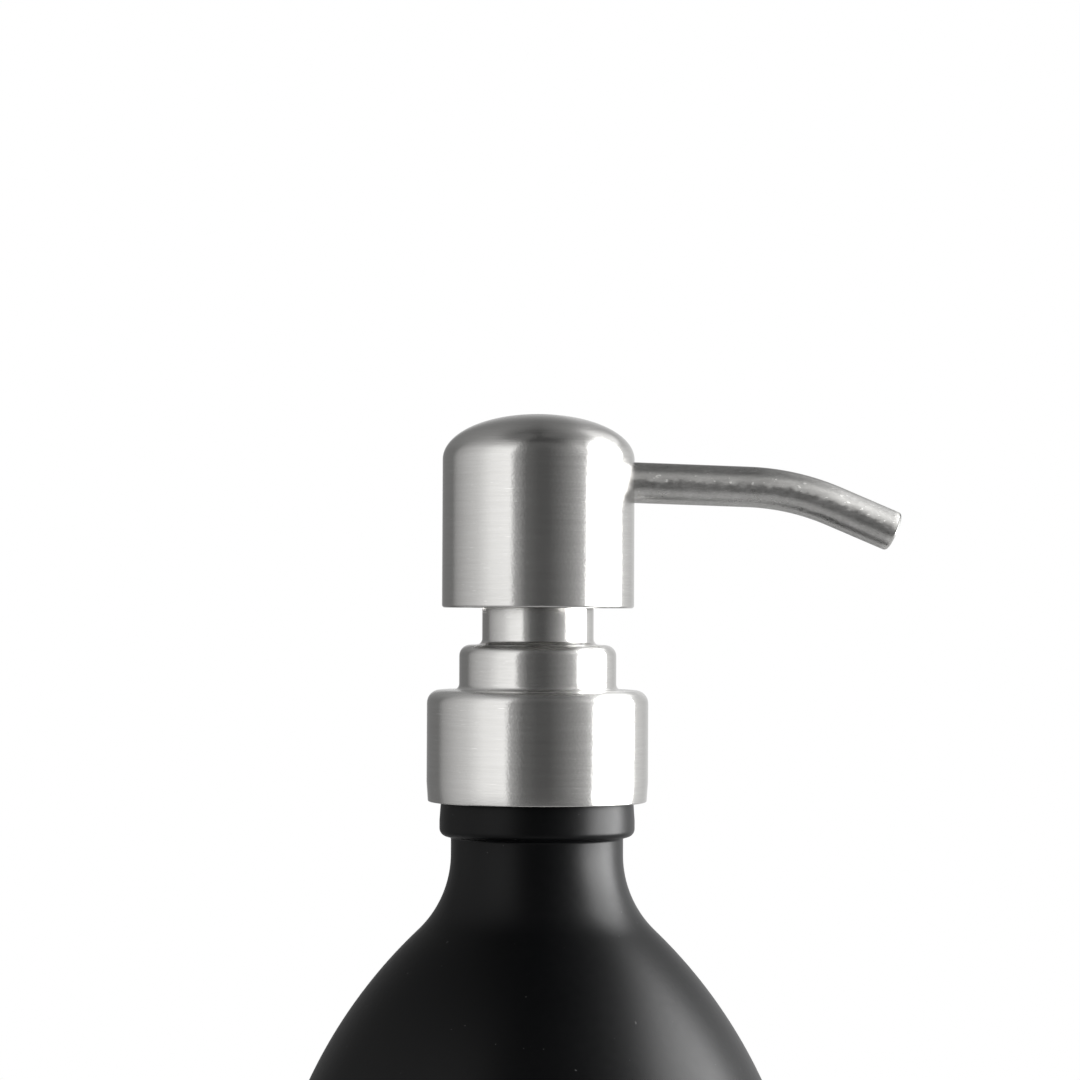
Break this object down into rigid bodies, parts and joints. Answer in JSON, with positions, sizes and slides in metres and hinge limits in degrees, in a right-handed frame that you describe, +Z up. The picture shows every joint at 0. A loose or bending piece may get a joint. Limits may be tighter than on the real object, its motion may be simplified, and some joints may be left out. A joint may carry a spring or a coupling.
{
  "type": "soap pump dispenser",
  "caption": "Tall matte black glass bottle with a round shoulder and a brushed steel lotion pump: domed push-down head, bent spout and stepped screw collar.",
  "frame": {"origin": "centre of the bottle's flat base, on the surface it stands on", "axes": "+Z up along the bottle's axis, +X along the spout at rest"},
  "size_m": [0.0942, 0.08, 0.2183],
  "materials": {
    "satin_black_glass": "opaque black coating, satin",
    "brushed_steel": "stainless, brushed round the axis",
    "spring_steel": "bright stainless",
    "white_polypropylene": "plain moulded",
    "natural_polyethylene": "milky moulded",
    "grey_rubber": "matt"
  },
  "bodies": {
    "bottle": {"bottle": "satin_black_glass"},
    "pump_body": {"pump_cylinder": "natural_polyethylene", "stem_guide": "white_polypropylene", "neck_gasket": "grey_rubber", "ball_cage": "white_polypropylene", "dip_tube": "natural_polyethylene", "return_spring": "spring_steel"},
    "closure": {"collar_shell": "brushed_steel", "screw_cap": "white_polypropylene"},
    "inlet_valve": {"inlet_ball": "spring_steel"},
    "plunger": {"stem": "white_polypropylene", "piston_rod": "white_polypropylene"},
    "sliding_piston": {"piston": "natural_polyethylene"},
    "head": {"head_shell": "brushed_steel", "head_core": "white_polypropylene", "spout_tube": "brushed_steel", "spout_liner": "white_polypropylene"}
  },
  "joints": [
    {"name": "pump_lift", "type": "slide", "parent": "bottle", "child": "pump_body", "axis": [0, 0, 1], "range_m": [0, 0.0053]},
    {"name": "closure_unscrew", "type": "hinge", "parent": "pump_body", "child": "closure", "pos_m": [0, 0, 0.17], "axis": [0, 0, 1], "range_deg": [0, 450]},
    {"name": "valve_lift", "type": "slide", "parent": "pump_body", "child": "inlet_valve", "axis": [0, 0, 1], "range_m": [0, 0.002]},
    {"name": "head_press", "type": "slide", "parent": "pump_body", "child": "plunger", "axis": [0, 0, 1], "range_m": [-0.0115, 0], "stiffness_N_per_m": 1000, "springref_m": 0.009, "deforming": ["return_spring"]},
    {"name": "piston_float", "type": "slide", "parent": "plunger", "child": "sliding_piston", "axis": [0, 0, 1], "range_m": [0, 0.001]},
    {"name": "head_swivel", "type": "hinge", "parent": "plunger", "child": "head", "pos_m": [0, 0, 0.2], "axis": [0, 0, 1], "continuous": true}
  ],
  "couplings": [
    {"joint": "pump_lift", "follows": "closure_unscrew", "m_per_rad": 0.0006737}
  ]
}
